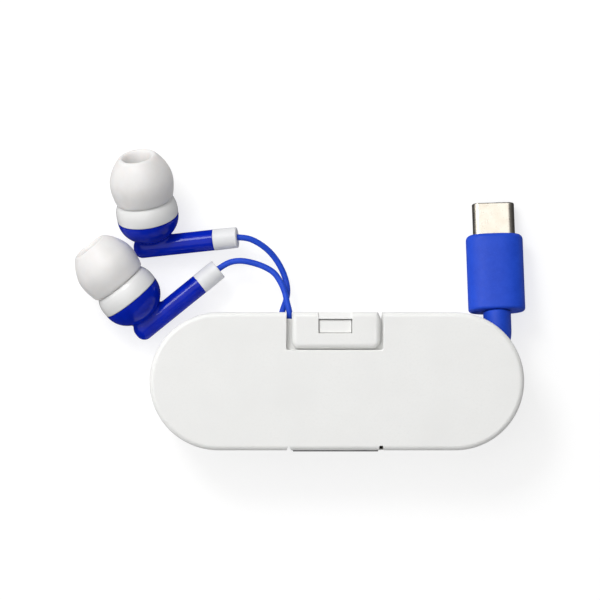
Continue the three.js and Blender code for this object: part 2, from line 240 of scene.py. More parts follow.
def spline(points, parts):
    """A smooth line through points, with that many parts to each stretch."""
    points = [Vector(p) for p in points]
    ends = [points[0] * 2 - points[1], *points, points[-1] * 2 - points[-2]]
    line = []
    for a, b, c, d in zip(ends, ends[1:], ends[2:], ends[3:]):
        times = [0.0]
        for one, two in ((a, b), (b, c), (c, d)):
            times.append(times[-1] + max((two - one).length, 1e-9) ** 0.5)
        t0, t1, t2, t3 = times
        for part in range(parts):
            t = t1 + (t2 - t1) * part / parts
            ab = a.lerp(b, (t - t0) / (t1 - t0))
            bc = b.lerp(c, (t - t1) / (t2 - t1))
            cd = c.lerp(d, (t - t2) / (t3 - t2))
            abc = ab.lerp(bc, (t - t0) / (t2 - t0))
            bcd = bc.lerp(cd, (t - t1) / (t3 - t1))
            line.append(abc.lerp(bcd, (t - t1) / (t2 - t1)))
    line.append(points[-1])
    return line


def profile(*runs, parts=5):
    """A turned profile of smooth runs that meet at corners."""
    line = []
    for run in runs:
        smooth = [(p.x, p.y) for p in spline([(r, z, 0) for r, z in run], parts)]
        if len(run) == 2:
            smooth = [smooth[0], smooth[-1]]
        if line and math.dist(line[-1], smooth[0]) < 1e-6:
            smooth = smooth[1:]
        line += smooth
    if math.dist(line[0], line[-1]) < 1e-6:
        line.pop()
    return line


def arc(centre, radius, start, end, steps):
    """Points of an arc about a centre, in degrees, ends included."""
    points = []
    for step in range(steps + 1):
        angle = math.radians(start + (end - start) * step / steps)
        points.append((centre[0] + radius * math.cos(angle), centre[1] + radius * math.sin(angle)))
    return points


def stadium(left, right, radius, steps=56):
    return arc((right, 0), radius, -90, 90, steps) + arc((left, 0), radius, 90, 270, steps)


def rounded_box(width, height, radius, steps=12):
    across, up = width / 2 - radius, height / 2 - radius
    points = []
    for corner, (x, y) in enumerate(((across, -up), (across, up), (-across, up), (-across, -up))):
        points += arc((x, y), radius, -90 + 90 * corner, 90 * corner, steps)
    return points


def oval(width, height, power):
    """A superellipse: an ellipse with fuller corners."""
    points = []
    steps = 88
    for step in range(steps):
        angle = 2 * math.pi * step / steps - math.pi / 2
        c, s = math.cos(angle), math.sin(angle)
        reach = (abs(2 * c / width) ** power + abs(2 * s / height) ** power) ** (-1 / power)
        points.append((reach * c, reach * s))
    return points


def inset(points, distance):
    """An outline that runs anticlockwise, moved inwards."""
    moved = []
    for index, (x, y) in enumerate(points):
        before, after = points[index - 1], points[(index + 1) % len(points)]
        one = Vector((x - before[0], y - before[1]))
        two = Vector((after[0] - x, after[1] - y))
        one = (one if one.length > 1e-6 else two).normalized()
        two = (two if two.length > 1e-6 else one).normalized()
        normal = Vector((-one.y - two.y, one.x + two.x))
        step = distance * 2 / max(normal.length_squared, 0.5)
        moved.append((x + normal.x * step, y + normal.y * step))
    return moved


def edge_round(radius, steps=6):
    """(inset, height) pairs up a rounded lower edge, from its flat face to its side."""
    return [
        (radius * (1 - math.sin(a)), radius * (1 - math.cos(a)))
        for a in (math.pi / 2 * step / steps for step in range(steps + 1))
    ]


def slab(name, points, low, high, low_round=0.0, high_round=0.0, high_flare=0.0):
    """An upright prism in millimetres, with rounded edges or a top edge that flares out."""
    levels = [(d, low + h) for d, h in edge_round(low_round)] if low_round else [(0, low)]
    if high_round:
        levels += [(d, high - h) for d, h in reversed(edge_round(high_round))]
    elif high_flare:
        levels += [(-d, high - h) for d, h in reversed(edge_round(high_flare, 5))]
        levels.append((-high_flare, high + CUTTER_REACH))
    else:
        levels.append((0, high))
    rings = [[(x, y, z) for x, y in inset(points, d)] for d, z in levels]
    return skin(name, rings)


def rectangle(x, y):
    return [(x[0], y[0]), (x[1], y[0]), (x[1], y[1]), (x[0], y[1])]


def box(name, x, y, z, round_edge=0.0):
    """A block between three pairs of millimetre values."""
    if not round_edge:
        return slab(name, rectangle(x, y), *z)
    across, along = (x[0] + x[1]) / 2, (y[0] + y[1]) / 2
    outline = [
        (px + across, py + along)
        for px, py in rounded_box(x[1] - x[0], y[1] - y[0], round_edge, 6)
    ]
    return slab(name, outline, *z, round_edge * 0.9, round_edge * 0.9)


# ---- materials ---------------------------------------


class Shader:
    """A Principled material whose texture nodes read the piece's own place in metres."""

    def __init__(self, name, color, roughness, metallic=0.0):
        self.material = bpy.data.materials.new(name)
        self.material.use_nodes = True
        self.nodes = self.material.node_tree.nodes
        self.links = self.material.node_tree.links
        self.base = self.nodes["Principled BSDF"]
        self.color = color
        self.base.inputs["Base Color"].default_value = (*color, 1)
        self.base.inputs["Roughness"].default_value = roughness
        self.base.inputs["Metallic"].default_value = metallic
        self.place = self.nodes.new("ShaderNodeTexCoord").outputs["Object"]
        self.bumps = None

    def set(self, **values):
        for name, value in values.items():
            self.base.inputs[name.replace("_", " ")].default_value = value
        return self

    def stretched(self, scale, turn=(0, 0, 0)):
        mapping = self.nodes.new("ShaderNodeMapping")
        mapping.inputs["Scale"].default_value = scale
        mapping.inputs["Rotation"].default_value = turn
        self.links.new(self.place, mapping.inputs["Vector"])
        return mapping.outputs["Vector"]

    def noise(self, size, detail=2.0, rough=0.5, place=None):
        texture = self.nodes.new("ShaderNodeTexNoise")
        texture.inputs["Scale"].default_value = 1 / size
        texture.inputs["Detail"].default_value = detail
        texture.inputs["Roughness"].default_value = rough
        self.links.new(place or self.place, texture.inputs["Vector"])
        return texture.outputs["Fac"]

    def cells(self, size):
        texture = self.nodes.new("ShaderNodeTexVoronoi")
        texture.inputs["Scale"].default_value = 1 / size
        self.links.new(self.place, texture.inputs["Vector"])
        return texture.outputs["Distance"]

    def ramp(self, value, low, high, to_low=0.0, to_high=1.0):
        mapped = self.nodes.new("ShaderNodeMapRange")
        for name, number in (
            ("From Min", low), ("From Max", high), ("To Min", to_low), ("To Max", to_high),
        ):
            mapped.inputs[name].default_value = number
        self.links.new(value, mapped.inputs["Value"])
        return mapped.outputs["Result"]

    def tint(self, value, color, low=0.35, high=0.7, most=1.0):
        """Turns the base colour towards another where a texture is high."""
        mix = self.nodes.new("ShaderNodeMix")
        mix.data_type = "RGBA"
        self.links.new(self.ramp(value, low, high, 0.0, most), mix.inputs["Factor"])
        before = self.base.inputs["Base Color"]
        if before.is_linked:
            self.links.new(before.links[0].from_socket, mix.inputs["A"])
        else:
            mix.inputs["A"].default_value = (*self.color, 1)
        mix.inputs["B"].default_value = (*color, 1)
        self.links.new(mix.outputs["Result"], before)
        return self

    def rough(self, value, smooth, coarse, low=0.3, high=0.7):
        self.links.new(self.ramp(value, low, high, smooth, coarse), self.base.inputs["Roughness"])
        return self

    def bump(self, value, height, strength=1.0):
        """Relief of that real height in metres."""
        bump = self.nodes.new("ShaderNodeBump")
        bump.inputs["Distance"].default_value = height
        bump.inputs["Strength"].default_value = strength
        self.links.new(value, bump.inputs["Height"])
        if self.bumps:
            self.links.new(self.bumps, bump.inputs["Normal"])
        self.bumps = bump.outputs["Normal"]
        self.links.new(self.bumps, self.base.inputs["Normal"])
        return self


def shade_of(color, amount):
    return tuple(c * amount for c in color)


def case_plastic():
    """Satin moulded plastic with a fine sparked texture and a few handling scuffs."""
    white = (0.85, 0.85, 0.835)
    s = Shader("case plastic", white, 0.5)
    s.tint(s.noise(11 * MM, 3), shade_of(white, 0.965))
    s.tint(s.noise(0.5 * MM, 3), shade_of(white, 0.97), 0.5, 0.75)
    scuffs = s.noise(1.2 * MM, 2, 0.6, s.stretched((0.12, 1, 1), (0, 0, 0.5)))
    s.rough(scuffs, 0.40, 0.52, 0.30, 0.45)
    s.bump(s.noise(0.16 * MM, 2, 0.6), 0.012 * MM, 0.5)
    s.bump(scuffs, 0.006 * MM, 0.15)
    s.set(Subsurface_Weight=0.12, Subsurface_Radius=(1.0, 0.95, 0.9), Subsurface_Scale=0.6 * MM)
    return s.material


def ear_silicone():
    """Soft translucent silicone: milky, satin, with fine dust and moulding ripples."""
    milk = (0.79, 0.775, 0.765)
    s = Shader("ear tip silicone", milk, 0.45)
    s.tint(s.noise(3.5 * MM, 3), shade_of(milk, 0.94))
    s.tint(s.cells(0.9 * MM), shade_of(milk, 0.86), 0.09, 0.05, 0.35)
    s.rough(s.noise(0.8 * MM, 3), 0.38, 0.52)
    s.bump(s.noise(0.28 * MM, 3, 0.6), 0.010 * MM, 0.45)
    s.set(
        Subsurface_Weight=0.45, Subsurface_Radius=(1.0, 0.85, 0.75), Subsurface_Scale=1.1 * MM,
        Sheen_Weight=0.06, Sheen_Roughness=0.4,
    )
    return s.material


def gloss_white():
    """Polished white plastic of the front caps."""
    white = (0.77, 0.77, 0.765)
    s = Shader("gloss white plastic", white, 0.16)
    s.tint(s.noise(4 * MM, 2), shade_of(white, 0.97))
    s.rough(s.noise(0.9 * MM, 3, 0.6), 0.13, 0.24, 0.4, 0.75)
    s.bump(s.noise(1.1 * MM, 1), 0.010 * MM, 0.35)
    s.bump(s.noise(0.12 * MM, 2), 0.0015 * MM, 0.4)
    s.set(Subsurface_Weight=0.15, Subsurface_Radius=(1.0, 0.95, 0.9), Subsurface_Scale=0.5 * MM)
    return s.material


def collar_plastic():
    """Satin white plastic of the collars."""
    white = (0.72, 0.725, 0.735)
    s = Shader("satin white plastic", white, 0.42)
    s.tint(s.noise(2.4 * MM, 3), shade_of(white, 0.95))
    s.rough(s.noise(0.6 * MM, 3, 0.6), 0.36, 0.5)
    s.bump(s.noise(0.14 * MM, 2, 0.6), 0.006 * MM, 0.5)
    s.set(Specular_IOR_Level=0.35)
    return s.material


def hinge_painted_shade():
    """The thin creased strip of a living hinge, coloured with painted shade: a grey base and a
    near-black painted shadow along the fold.
    """
    # Painted shade: the strip is grey, darker than the case plastic it is moulded with.
    grey, painted_shadow = (0.42, 0.42, 0.42), (0.02, 0.02, 0.02)
    s = Shader("hinge plastic with painted shade", grey, 0.5)
    # Painted shadow: stretched noise turns much of the strip near-black, standing in for the shadow
    # in the hinge gap.
    s.tint(s.noise(0.9 * MM, 3, 0.6, s.stretched((0.2, 1, 1))), painted_shadow, 0.30, 0.42, 0.95)
    s.rough(s.noise(0.3 * MM, 2), 0.42, 0.6)
    s.bump(s.noise(0.12 * MM, 3, 0.6, s.stretched((1, 0.3, 0.3))), 0.012 * MM, 0.6)
    return s.material


def gloss_blue():
    """Polished blue plastic, with faint flow marks and hairlines in the gloss."""
    blue = (0.0009, 0.017, 0.425)
    s = Shader("gloss blue plastic", blue, 0.2)
    s.tint(s.noise(3 * MM, 3), (0.0006, 0.011, 0.33))
    hairs = s.noise(0.5 * MM, 3, 0.65, s.stretched((0.15, 1, 1), (0.3, 0.2, 0.6)))
    s.rough(hairs, 0.05, 0.12, 0.45, 0.75)
    s.bump(s.noise(1.3 * MM, 1), 0.012 * MM, 0.35)
    s.bump(hairs, 0.0015 * MM, 0.4)
    s.set(Specular_IOR_Level=0.18)
    return s.material


def matte_blue():
    """The cord's and plug's matte blue compound, with a fine grain."""
    blue = (0.012, 0.066, 0.56)
    s = Shader("matte blue compound", blue, 0.5)
    s.tint(s.noise(2.6 * MM, 3), (0.009, 0.055, 0.50))
    s.tint(s.noise(0.18 * MM, 2), (0.020, 0.082, 0.62), 0.55, 0.8, 0.7)
    s.rough(s.noise(0.7 * MM, 3), 0.44, 0.58)
    s.bump(s.noise(0.11 * MM, 3, 0.6), 0.010 * MM, 0.5)
    s.set(Specular_IOR_Level=0.22)
    return s.material


def plug_nickel():
    """Nickel plate with drawing lines along the shell, pits and handling marks."""
    nickel = (0.62, 0.585, 0.51)
    s = Shader("nickel plate", nickel, 0.3, 1.0)
    lines = s.noise(0.10 * MM, 3, 0.6, s.stretched((1, 0.06, 1)))
    s.tint(s.cells(0.75 * MM), (0.30, 0.27, 0.22), 0.12, 0.07, 0.6)
    s.tint(s.noise(2.2 * MM, 2), (0.575, 0.525, 0.445), 0.4, 0.75)
    s.rough(s.noise(1.4 * MM, 4, 0.65), 0.24, 0.38)
    s.bump(lines, 0.0022 * MM, 0.5)
    return s.material


def contact_gold():
    gold = (0.83, 0.55, 0.18)
    s = Shader("gold flash", gold, 0.25, 1.0)
    s.tint(s.noise(0.4 * MM, 3), (0.66, 0.42, 0.14), 0.4, 0.7)
    s.rough(s.noise(0.2 * MM, 2), 0.18, 0.34)
    s.bump(s.noise(0.05 * MM, 2), 0.001 * MM)
    return s.material


def plain_steel():
    steel = (0.50, 0.50, 0.49)
    s = Shader("pressed steel", steel, 0.35, 1.0)
    s.tint(s.noise(1.1 * MM, 3), (0.36, 0.355, 0.34))
    s.rough(s.noise(0.35 * MM, 3), 0.26, 0.44)
    s.bump(s.noise(0.09 * MM, 3, 0.6, s.stretched((1, 0.2, 1))), 0.0025 * MM)
    return s.material


def driver_film():
    film = (0.60, 0.57, 0.48)
    s = Shader("diaphragm film", film, 0.28)
    s.tint(s.noise(0.9 * MM, 2), (0.50, 0.47, 0.39))
    s.rough(s.noise(0.4 * MM, 2), 0.2, 0.36)
    s.bump(s.noise(0.5 * MM, 2), 0.006 * MM, 0.5)
    s.set(Transmission_Weight=0.25)
    return s.material


def coil_copper():
    """Enamelled wire, whose fine turns show as a grain."""
    copper = (0.72, 0.27, 0.12)
    s = Shader("enamelled copper", copper, 0.3, 1.0)
    s.tint(s.noise(0.7 * MM, 2), (0.5, 0.16, 0.07))
    s.rough(s.noise(0.3 * MM, 2), 0.24, 0.4)
    s.bump(s.cells(0.07 * MM), 0.012 * MM, 0.7)
    return s.material


def board_mask():
    """Green solder mask with tinned pads."""
    green = (0.012, 0.11, 0.035)
    s = Shader("solder mask", green, 0.32)
    s.tint(s.noise(0.8 * MM, 3), (0.006, 0.07, 0.02))
    s.tint(s.cells(1.3 * MM), (0.55, 0.54, 0.50), 0.30, 0.26, 0.9)
    s.rough(s.noise(0.3 * MM, 2), 0.26, 0.42)
    s.bump(s.cells(1.3 * MM), 0.02 * MM, 0.4)
    return s.material


def black_plastic():
    black = (0.012, 0.012, 0.013)
    s = Shader("black engineering plastic", black, 0.42)
    s.tint(s.noise(0.6 * MM, 3), (0.026, 0.026, 0.028), 0.4, 0.7)
    s.rough(s.noise(0.25 * MM, 3), 0.34, 0.52)
    s.bump(s.noise(0.08 * MM, 3), 0.005 * MM, 0.6)
    return s.material


MATERIALS = {
    "shell_white": case_plastic(),
    "silicone": ear_silicone(),
    "cap_white": gloss_white(),
    "collar": collar_plastic(),
    "hinge": hinge_painted_shade(),
    "housing_blue": gloss_blue(),
    "cord_blue": matte_blue(),
    "nickel": plug_nickel(),
    "brass": contact_gold(),
    "steel": plain_steel(),
    "film": driver_film(),
    "copper": coil_copper(),
    "board_green": board_mask(),
    "black_plastic": black_plastic(),
}
ROOT = "case_tray"


# ---- cords -------------------------------------------

EAR_CORD = 1.2 * MM
MAIN_CORD = 2.0 * MM

# The stretches that aren't coiled: the same points as the CAD model's tubes.
LEFT_ROUTE = [
    (-0.0195, 0.0284, 0.00565), (-0.0172, 0.0280, 0.0056), (-0.0141, 0.0261, 0.0050),
    (-0.0119, 0.0235, 0.0044), (-0.01045, 0.0204, 0.0045), (-0.0100, 0.0180, 0.0053),
    (-0.01025, 0.0160, 0.0065), (-0.01095, 0.0139, 0.00785), (-0.0113, 0.0123, 0.0082),
    (-0.0124, 0.01095, 0.0076), (-0.0144, 0.0106, 0.0063), (-0.0164, 0.01065, 0.00535),
]
RIGHT_ROUTE = [
    (-0.02335, 0.0224, 0.00515), (-0.0215, 0.0234, 0.0054), (-0.0196, 0.02375, 0.0057),
    (-0.0177, 0.02355, 0.0060), (-0.0149, 0.0227, 0.0063), (-0.0127, 0.0214, 0.0066),
    (-0.0114, 0.0196, 0.0071), (-0.0105, 0.0175, 0.0078), (-0.01005, 0.0155, 0.0085),
    (-0.0096, 0.0136, 0.0090), (-0.0096, 0.0123, 0.0090), (-0.0102, 0.0109, 0.00895),
    (-0.0115, 0.0098, 0.00875), (-0.0132, 0.0095, 0.0084), (-0.0149, 0.00975, 0.00785),
    (-0.0163, 0.0101, 0.00735),
]
LEFT_TAIL = [
    (-0.0176, -0.01075, 0.0024), (-0.0160, -0.0106, 0.0024), (-0.0143, -0.0103, 0.00245),
    (-0.0132, -0.01015, 0.0025),
]
RIGHT_TAIL = [
    (-0.0176, -0.01075, 0.00375), (-0.0160, -0.0106, 0.00385), (-0.0143, -0.0103, 0.0039),
    (-0.0132, -0.01015, 0.0039),
]
MAIN_HEAD = [(-0.0050, -0.0102, 0.0032), (-0.0034, -0.0102, 0.0032), (-0.0005, -0.0100, 0.0030)]
MAIN_TAIL = [(0.0304, 0.0024, 0.0088), (0.0312, 0.0046, 0.0087), (0.0315, 0.0058, 0.0085)]


def smoothed(value):
    value = min(max(value, 0.0), 1.0)
    return value * value * (3 - 2 * value)


def ear_coil(top):
    """The round coil of one ear cord. It winds in for two turns, drops two cords deep
    down the inner column over half a turn, and winds out again for two."""
    low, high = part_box("ear_cord_coil")
    centre = (low + high) / 2
    widest = (high.x - low.x) / 2 - EAR_CORD / 2
    narrowest = widest - 2 * EAR_CORD
    turns_in, drop = 2.0, 0.5
    points = []
    per_turn = 24
    for step in range(int((2 * turns_in + drop) * per_turn) + 1):
        turn = step / per_turn
        sunk = (turn - turns_in) / drop
        if turn <= turns_in:
            radius = widest - EAR_CORD * turn
        elif turn <= turns_in + drop:
            radius = narrowest - EAR_CORD / 4 * math.sin(math.pi * sunk)
        else:
            radius = narrowest + EAR_CORD * (turn - turns_in - drop)
        height = top - 2 * EAR_CORD * smoothed(sunk)
        angle = math.pi / 2 + 2 * math.pi * turn
        points.append((
            centre.x + radius * math.cos(angle), centre.y + radius * math.sin(angle), height,
        ))
    return points


def main_coil():
    """The oblong coil of the main cord: four layers of two turns. A turn moves to its
    next place along the left end, the last turn first, so that no two pass together."""
    low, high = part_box("main_cord_coil")
    outer = (high.y - low.y) / 2 - MAIN_CORD / 2
    left, right = low.x + outer + MAIN_CORD / 2, high.x - outer - MAIN_CORD / 2
    columns = (outer, outer - MAIN_CORD)
    places = []
    for layer in range(4):
        height = low.z + MAIN_CORD * (layer + 0.5)
        order = columns if layer % 2 == 0 else columns[::-1]
        places += [(radius, height) for radius in order]
    straight, bend = right - left, math.pi * (outer - MAIN_CORD / 2)
    lap = 2 * (straight + bend)
    move, stagger, first_move = 6.0 * MM, 2.6 * MM, 2 * straight + bend + 0.6 * MM
    end = straight + bend * 88 / 180  # where the last turn leaves the coil
    points = []
    per_lap = 60
    last = len(places) - 1
    for step in range(1, len(places) * per_lap):
        turn, part = divmod(step, per_lap)
        along = lap * part / per_lap
        if turn == last and along > end:
            break
        radius, height = places[turn]
        if turn < last:
            moved = smoothed((along - first_move - (last - 1 - turn) * stagger) / move)
            radius += (places[turn + 1][0] - radius) * moved
            height += (places[turn + 1][1] - height) * moved
        if along < straight:
            x, y = left + along, -radius
        elif along < straight + bend:
            angle = math.pi * (along - straight) / bend - math.pi / 2
            x, y = right + radius * math.cos(angle), radius * math.sin(angle)
        elif along < 2 * straight + bend:
            x, y = right - (along - straight - bend), radius
        else:
            angle = math.pi * (along - 2 * straight - bend) / bend + math.pi / 2
            x, y = left + radius * math.cos(angle), radius * math.sin(angle)
        points.append((x, y, height))
    return points


def cord(name, points, diameter):
    """A round cord along one smooth line through the points."""
    line = spline(points, 4)
    sides = 16
    side = (line[1] - line[0]).orthogonal()
    rings = []
    for index, point in enumerate(line):
        before, after = line[max(index - 1, 0)], line[min(index + 1, len(line) - 1)]
        ahead = (after - before).normalized()
        side = (side - ahead * side.dot(ahead)).normalized()
        up = ahead.cross(side)
        rings.append([
            (point + side * x + up * y) / MM
            for x, y in arc((0, 0), diameter / 2, 0, 360 - 360 / sides, sides - 1)
        ])
    piece = skin(name, rings)
    shaded(piece, 60, weighted=False)
    return piece, line


COLLAR_END = 17.0  # along the stem, where the cord comes out of the collar
CORD_INSIDE = 2.5  # how far the cord reaches into the collar


def ear_cord(side, route, coil_top, tail):
    matrix = BUDS[side]
    inside = matrix @ (Vector((COLLAR_END - CORD_INSIDE, 0, -STEM_BACK)) * MM)
    mouth = matrix @ (Vector((COLLAR_END, 0, -STEM_BACK)) * MM)
    points = [inside, mouth, *route[1:], *ear_coil(coil_top), *tail]
    piece, line = cord(f"cord_{side}", points, EAR_CORD)
    nodes = [f"ear_cord_{side}", f"ear_cord_{side}_tail"]
    if side == "left":
        nodes.append("ear_cord_coil")
    belongs(piece, ROOT, "cord_blue", *nodes)


def main_cord():
    """The main cord, from the splitter through its coil to just inside the plug's neck."""
    neck = [PLUG @ Vector((0, place * MM, 0)) for place in (-6.2, -4.4)]
    points = [*MAIN_HEAD, *main_coil(), *MAIN_TAIL, *neck]
    piece, line = cord("cord_main", points, MAIN_CORD)
    belongs(piece, ROOT, "cord_blue", "main_cord_coil", "main_cord_tail")


# ---- case --------------------------------------------

CASE_LOW, CASE_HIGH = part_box("rear_tray")[0] / MM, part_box("front_cover")[1] / MM
HALF_WIDTH = -CASE_LOW.y
ENDS = (CASE_LOW.x + HALF_WIDTH, CASE_HIGH.x - HALF_WIDTH)  # centres of the round ends
DEPTH = CASE_HIGH.z
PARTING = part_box("front_cover")[0].z / MM
TRAY_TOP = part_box("rear_tray")[1].z / MM
WALL = 1.5
EDGE = 1.0  # outer edge round
RIM_EDGE = 0.18
FLOOR_EDGE = 0.7

LATCH_LOW, LATCH_HIGH = (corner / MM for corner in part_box("latch_tab"))
LATCH_CORNER = 1.6
LATCH_EDGE = 1.05
LATCH_PLATE = 1.2
LATCH_LEG = 1.0
RECESS_X = (LATCH_LOW.x - 1.03, LATCH_HIGH.x + 0.49)
RECESS_LOW = LATCH_LOW.y - 0.21
RECESS_FLOOR = DEPTH - 1.9
RECESS_WALL = 12.3
BACKING = 1.2  # thickness behind the recess's wall and under its floor
LEDGE_X = (-11.4, 10.2)
WINDOW_X, WINDOW_Y = (-3.83, 2.77), (9.49, 12.25)
LUG_GAP = 0.12
LUG_TOP = DEPTH - 0.5

HINGE_X = tuple(corner.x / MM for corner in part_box("cover_hinge_strip"))
COVER_HINGE, LATCH_HINGE = (-13.6, 10.0), (13.4, 9.35)  # (y, z): outer face, mid-height
NECK_RADIUS = 2.75  # the plug's strain relief
FAR = 30.0  # well outside the case


def case_skin(name, levels):
    """A skin round the case's outline, from (inset, height) pairs."""
    rings = [[(x, y, z) for x, y in stadium(*ENDS, HALF_WIDTH - d)] for d, z in levels]
    return skin(name, rings)


def case_half(name, upper):
    """The tray or the cover: outer face, round edge, wall, rim, inner wall and floor."""
    top = DEPTH - PARTING if upper else TRAY_TOP
    levels = edge_round(EDGE, 10)
    levels += [(d, top - h) for d, h in reversed(edge_round(RIM_EDGE, 3))]
    levels += [(WALL - d, top - h) for d, h in edge_round(RIM_EDGE, 3)]
    levels += [(WALL + d, WALL + h) for d, h in reversed(edge_round(FLOOR_EDGE, 5))]
    if upper:
        levels = [(d, DEPTH - height) for d, height in levels]
    return case_skin(name, levels)


def notches(piece):
    """The V beside the latch and the two small reliefs beside the hinge."""
    right = [(8.45, RECESS_WALL), (8.6, RECESS_WALL), (8.95, 14.2), (7.7, 14.2)]
    cut(piece, slab("notch", right, -1, FAR))
    cut(piece, slab("notch", [(-9.7, -12.7), (-10.4, -14.1), (-9.0, -14.1)], -1, FAR))
    relief = [(7.95, -14.2), (9.05, -14.2), (8.85, -12.7), (8.15, -12.7)]
    cut(piece, slab("notch", relief, PARTING - 0.5, FAR))
    well = [(8.05, -13.4), (8.95, -13.4), (8.85, -12.7), (8.15, -12.7)]
    cut(piece, slab("well", well, 5, FAR))
    room = (HINGE_X[0] - 0.25, HINGE_X[1] + 0.25)
    cut(piece, box("pocket", room, (-FAR, -13.15), (9.1, 10.9)))


def ejector_marks(piece, height, places):
    """The shallow round witness marks that moulding leaves on an inner face."""
    for x, y in places:
        disc = arc((x, y), 1.5, 0, 350, 35)
        cut(piece, slab("mark", disc, height - 0.06, height + 0.3))


def tray():
    piece = case_half("case_back_shell", upper=False)
    behind = (RECESS_WALL - BACKING, 12.4)
    across = (-8.8, LEDGE_X[1])
    cut(piece, box("backing", across, behind, (WALL - 0.5, TRAY_TOP - 0.01)), "UNION")
    cut(piece, box("seat", (RECESS_X[0], RECESS_X[1] - 0.3), (RECESS_WALL, FAR), (8.8, FAR)))
    cut(piece, box("slot", (-12.6, -8.8), (10, FAR), (6.8, FAR)))
    cut(piece, neck_room())
    cut(piece, box("neck slot", (28.35, 34.45), (5, FAR), (7.7, FAR)))
    notches(piece)
    ejector_marks(piece, WALL, ((-31, 0), (-8, 7), (-8, -6), (11, 0), (32, -3)))
    gate = arc((0, 0), 1.1, 0, 350, 35)
    cut(piece, slab("gate", gate, -0.3, 0.08))
    shaded(piece)
    return belongs(piece, ROOT, "shell_white", "rear_tray")


def cover():
    piece = case_half("case_front_shell", upper=True)
    inner = DEPTH - WALL + 0.2
    ledge = box("ledge", LEDGE_X, (4.9, 12.4), (RECESS_FLOOR - BACKING, inner))
    cut(piece, ledge, "UNION")
    behind = (RECESS_WALL - BACKING, 12.41)
    cut(piece, box("backing", LEDGE_X, behind, (PARTING + 0.01, inner - 0.1)), "UNION")
    corner = 0.35
    recess = arc((RECESS_X[0] + corner, RECESS_LOW + corner), corner, 180, 270, 5)
    recess += arc((RECESS_X[1] - corner, RECESS_LOW + corner), corner, 270, 360, 5)
    recess += [(RECESS_X[1], FAR), (RECESS_X[0], FAR)]
    cut(piece, slab("recess", recess, RECESS_FLOOR, DEPTH, high_flare=0.22))
    cut(piece, box("opening", RECESS_X, (RECESS_WALL, FAR), (0, FAR)))
    lug_x = (WINDOW_X[0] + LUG_GAP, WINDOW_X[1] - LUG_GAP)
    lug_y = (WINDOW_Y[0] + LUG_GAP * 0.5, WINDOW_Y[1] - LUG_GAP * 1.3)
    cut(piece, box("lug", lug_x, lug_y, (RECESS_FLOOR - 0.4, LUG_TOP), 0.2), "UNION")
    cut(piece, neck_room())
    notches(piece)
    shaded(piece)
    return belongs(piece, "cover", "shell_white", "front_cover")


def neck_room():
    """The round way out for the plug's neck, 0.3 mm wider all round."""
    radius = NECK_RADIUS + 0.3
    reach = [(0, -8), (radius, -8), (radius, 2), (0, 2)]
    return turned("neck room", reach, PLUG_TURNED, segments=64)


def latch():
    """An L: a plate with a window over the cover's lug, and a leg down to its hinge, with
    its lower corner cut back to swing clear of the ear cords."""
    low, high = LATCH_LOW, LATCH_HIGH
    outline = arc((low.x + LATCH_CORNER, low.y + LATCH_CORNER), LATCH_CORNER, 180, 270, 12)
    outline += arc((high.x - LATCH_CORNER, low.y + LATCH_CORNER), LATCH_CORNER, 270, 360, 12)
    outline += [
        (high.x, RECESS_WALL), (high.x - 0.6, HALF_WIDTH + 0.1),
        (high.x - 0.6, FAR), (low.x, FAR),
    ]
    piece = slab("case_latch", outline, low.z, DEPTH, high_round=LATCH_EDGE)
    levels = [(d, -2 + h) for d, h in edge_round(EDGE, 10)]
    levels += [(d, DEPTH - h) for d, h in reversed(edge_round(EDGE, 10))]
    cut(piece, case_skin("case body", levels), "INTERSECT")
    under = box("under", (-FAR, FAR), (-FAR, HALF_WIDTH - LATCH_LEG), (0, DEPTH - LATCH_PLATE))
    cut(piece, under)
    relief = [(low.x - 0.45, low.z + 2), (low.x + 0.9, low.z - 1), (low.x - 0.45, low.z - 1)]
    cut(piece, skin("cord relief", [[(x, y, z) for x, z in relief] for y in (12, 15)]))
    window = rectangle(WINDOW_X, WINDOW_Y)
    cut(piece, slab("window", window, 10, DEPTH, high_flare=0.1))
    grip = []
    for x, spread in ((WINDOW_X[0], -0.5), (WINDOW_X[1], 0.5)):
        grip.append([
            (x, WINDOW_Y[1] + 0.12, DEPTH), (x, 14.0, DEPTH - 1.5),
            (x + spread, 14.0, DEPTH + 2), (x + spread, WINDOW_Y[1] + 0.12, DEPTH + 2),
        ])
    cut(piece, skin("grip", grip))
    shaded(piece)
    return belongs(piece, "latch", "shell_white", "latch_tab")


def web(name, node, look, x, middle_line, reach, thick, bulge):
    """A living hinge: a thin bowed strip from the tray to the part that swings."""
    y, z = middle_line
    steps = 16
    outside, inside = [], []
    for step in range(steps + 1):
        height = -1 + 2 * step / steps
        bow = bulge * math.cos(math.pi / 2 * height)
        outside.append((y + bow, z + reach * height))
        inside.append((y + bow - math.copysign(thick, bulge), z + reach * height))
    section = outside + inside[::-1]
    count = 24
    rings = [
        [(x[0] + (x[1] - x[0]) * step / count, py, pz) for py, pz in section]
        for step in range(count + 1)
    ]
    piece = skin(name, rings)
    shaded(piece)
    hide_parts(node)
    piece.data.materials.append(MATERIALS[look])
    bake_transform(piece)
    return piece


# ---- earbuds -----------------------------------------

BUD_RADIUS, BOWL_DEPTH = 6.1, 5.3
STEM_RADIUS = 2.075
STEM_HEEL, STEM_END = -3.9, 12.2
HEEL_ROUND = 1.75
JOIN = 0.8  # how softly the bowl runs into the stem


